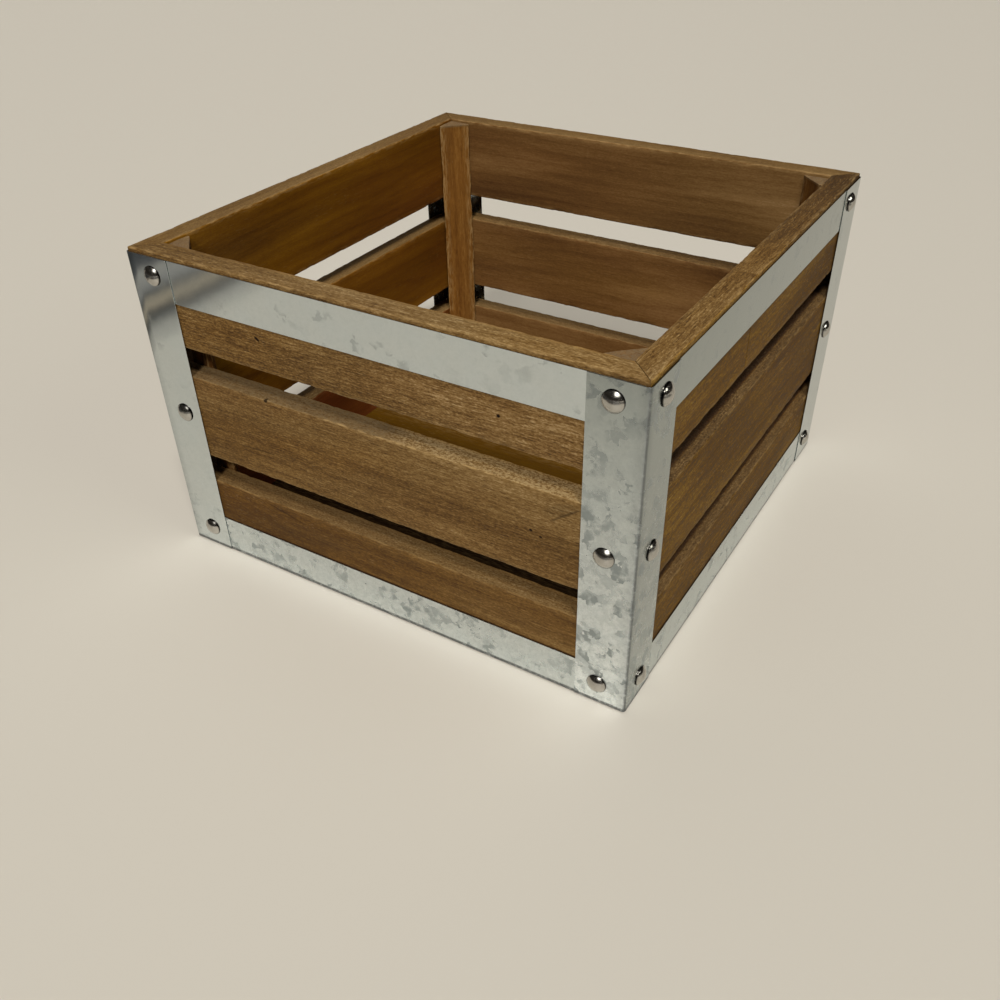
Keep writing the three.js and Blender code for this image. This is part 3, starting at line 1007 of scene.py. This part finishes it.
def markSheet(bm, name, seed, height, foldAt=noFold, legAt=oneLeg):
    for edge in sheetSet["footShadow"]:
        cutLoop(bm, (0, 0, edge), (0, 0, 1))
    draw = random.Random(seed)
    reach = sheetSet["start"]
    start = Vector([draw.uniform(-reach, reach) for axis in range(3)])
    foot, rim = sheetSet["flakes"][name]
    shadeFull, shadeFaded = sheetSet["footShadow"]
    sheetLayer = bm.verts.layers.float_vector.new("sheet")
    flakeLayer = bm.verts.layers.float.new("flakes")
    creaseShadowLayer = bm.verts.layers.float.new("creaseAndShadow")
    dullShadeLayer = bm.verts.layers.float.new("dullAndShaded")
    for vert in bm.verts:
        up = limit(vert.co.z / height)
        dullShadeFoot, dullShadeRim = sheetSet["dullAndShaded"][name][legAt(vert.co)]
        # painted shadow along the foot, in the same dark colour as the scuffed fold
        footShade = limit((shadeFaded - vert.co.z) / (shadeFaded - shadeFull))
        vert[sheetLayer] = vert.co / mm + start
        vert[creaseShadowLayer] = max(foldAt(vert.co), footShade)
        vert[flakeLayer] = foot + (rim - foot) * up
        vert[dullShadeLayer] = dullShadeFoot + (dullShadeRim - dullShadeFoot) * up
    shift = start / sheetSet["waveShift"]
    bm.normal_update()
    for vert in bm.verts:
        vert.co += vert.normal * sheetSet["wave"] * noise.noise(vert.co / sheetSet["waveLength"] + shift)


def thicken(piece):
    solid = piece.modifiers.new("sheet", "SOLIDIFY")
    solid.thickness = sheetSet["thickness"]
    solid.offset = -1
    soft = piece.modifiers.new("sheared_edge", "BEVEL")
    soft.width = sheetSet["edge"]
    soft.segments = sheetSet["edgeSteps"]
    soft.limit_method = "ANGLE"
    soft.angle_limit = math.radians(sheetSet["edgeAngle"])
    soft.harden_normals = True


def makeBand(index, level, material, height):
    name = f"band_{walls[index]}_{levels[level]}"
    lo, hi = frontBox(name, index)
    size = hi - lo
    bm = bmesh.new()
    middle = Matrix.Translation(((lo.x + hi.x) / 2, lo.y, (lo.z + hi.z) / 2))
    upright = middle @ Matrix.Rotation(math.pi / 2, 4, "X")
    facesAlong = round(size.x / sheetSet["faceLength"])
    bmesh.ops.create_grid(bm, x_segments=facesAlong, y_segments=sheetSet["facesAcross"], size=0.5,
                          matrix=upright @ Matrix.Diagonal((size.x, size.z, 1, 1)))
    markSheet(bm, "band_" + walls[index], seeds["band"] + 10 * index + level, height)
    thicken(finishPiece(bm, "zinc_" + name, index, material, name))


def makeAngle(index, material, height):
    name = f"corner_angle_{corners[index]}"
    lo, hi = frontBox(name, index)
    bend = sheetSet["bend"]
    bm = bmesh.new()
    line = [bm.verts.new(place) for place in ((lo.x, lo.y, lo.z), (hi.x, lo.y, lo.z), (hi.x, hi.y, lo.z))]
    legs = [bm.edges.new(pair) for pair in zip(line, line[1:])]
    raiseNew(bm, bmesh.ops.extrude_edge_only(bm, edges=legs), hi.z - lo.z)
    if bm.faces[:][0].normal.dot(Vector((1, -1, 0))) < 0:
        bmesh.ops.reverse_faces(bm, faces=bm.faces)
    corner = [edge for edge in bm.edges if len(edge.link_faces) == 2]
    roundEdges(bm, corner, bend, sheetSet["bendSteps"])
    for row in range(1, sheetSet["facesAcross"]):
        reach = row / sheetSet["facesAcross"]
        cutLoop(bm, (lo.x + (hi.x - lo.x - bend) * reach, 0, 0), (1, 0, 0))
        cutLoop(bm, (0, hi.y - (hi.y - lo.y - bend) * reach, 0), (0, 1, 0))
    upright = edgesAlong(bm, 2, bend)
    facesUp = round((hi.z - lo.z) / sheetSet["faceLength"])
    bmesh.ops.subdivide_edges(bm, edges=upright, cuts=facesUp, use_grid_fill=True)

    def fold(place):
        return limit(sheetSet["foldReach"] - max(hi.x - place.x, place.y - lo.y) / bend)

    def leg(place):
        return int(hi.x - place.x < place.y - lo.y)

    markSheet(bm, name, seeds["angle"] + index, height, fold, leg)
    thicken(finishPiece(bm, "zinc_" + name, index, material, name))


# Nails: a domed head on a pointed shank, spun round the nail's axis

nailSet = {
    "headHeight": 2.4 * mm,
    "headEdge": 0.3 * mm,
    "shank": 2 * mm,
    "point": 3 * mm,
    "domeSteps": 12,
    "sides": 40,
    "sharp": 40,               # degrees from which an edge is sharp
    "rimShadow": 0.9,              # painted shadow at the foot of the dome
    "lean": 2.5,               # degrees, at most
}


def makeNail(index, end, level, material, seed):
    name = f"nail_{walls[index]}_{end}_{level}"
    lo, hi = frontBox(name, index)
    centre = Vector(((lo.x + hi.x) / 2, lo.y, (lo.z + hi.z) / 2))
    length = hi.y - lo.y
    headRadius = (hi.x - lo.x) / 2
    headHeight = nailSet["headHeight"]
    dome = headHeight - nailSet["headEdge"]
    domeRadius = (headRadius ** 2 + dome ** 2) / (2 * dome)
    domeAngle = math.asin(headRadius / domeRadius)
    profile = []
    for step in range(nailSet["domeSteps"] + 1):
        angle = domeAngle * step / nailSet["domeSteps"]
        profile.append((domeRadius * math.sin(angle), domeRadius * (1 - math.cos(angle))))
    shank = nailSet["shank"] / 2
    profile += [(headRadius, headHeight), (shank, headHeight)]
    profile += [(shank, length - nailSet["point"]), (0, length)]
    bm = bmesh.new()
    line = [bm.verts.new((across, along, 0)) for across, along in profile]
    edges = [bm.edges.new(pair) for pair in zip(line, line[1:])]
    bmesh.ops.spin(bm, geom=line + edges, cent=(0, 0, 0), axis=(0, 1, 0), dvec=(0, 0, 0), angle=2 * math.pi,
                   steps=nailSet["sides"], use_merge=True)
    bmesh.ops.remove_doubles(bm, verts=bm.verts, dist=tiny)
    bmesh.ops.recalc_face_normals(bm, faces=bm.faces)
    for edge in bm.edges:
        if edge.calc_face_angle(0) > math.radians(nailSet["sharp"]):
            edge.smooth = False
    # painted shadow on the head's edge, where it meets the sheet
    rimShadowLayer = bm.verts.layers.float.new("rimShadow")
    for vert in bm.verts:
        vert[rimShadowLayer] = limit((vert.co.y - dome) / nailSet["headEdge"] + nailSet["rimShadow"])
    draw = random.Random(seed)
    lean = Matrix.Rotation(math.radians(draw.uniform(-1, 1) * nailSet["lean"]), 4, "X")
    lean = lean @ Matrix.Rotation(math.radians(draw.uniform(-1, 1) * nailSet["lean"]), 4, "Z")
    seat = Matrix.Translation((0, headHeight, 0))
    driven = Matrix.Translation(centre) @ seat @ lean @ seat.inverted()
    bmesh.ops.transform(bm, matrix=driven, verts=bm.verts)
    finishPiece(bm, "nickel_" + name, index, material, name)


placeCamera()
layFloor()
for name in cardSet:
    layCard(name)
for name in lampSet:
    hangLamp(name)
paintSky()
print("camera, floor and light are set")

slatWood = woodFinish("stained_slat_wood", slatWoodSet)
postWood = woodFinish("stained_post_wood", postWoodSet)
floorWood = woodFinish("floor_board_wood", floorWoodSet)
zinc = zincFinish("galvanised_sheet", zincSet)
nickel = nickelFinish("nickel_plate", nickelSet)
print("finishes are mixed")

for index in range(len(walls)):
    for level in range(len(levels)):
        makeSlat(index, level, slatWood)
    makePost(index, postWood)
for number in range(len(boardSet["tones"])):
    makeBoard(number, floorWood)
print("slats, posts and floor boards are cut")

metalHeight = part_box("corner_angle_front_right")[1].z
for index in range(len(walls)):
    makeAngle(index, zinc, metalHeight)
    for level in (levels.index("bottom"), levels.index("top")):
        makeBand(index, level, zinc, metalHeight)
print("bands and corner angles are bent")

nailCount = 0
for index in range(len(walls)):
    for end in ("left", "right"):
        for level in ("low", "middle", "high"):
            makeNail(index, end, level, nickel, seeds["nail"] + nailCount)
            nailCount += 1
print(nailCount, "nails are driven")

scene.view_settings.view_transform = "Standard"
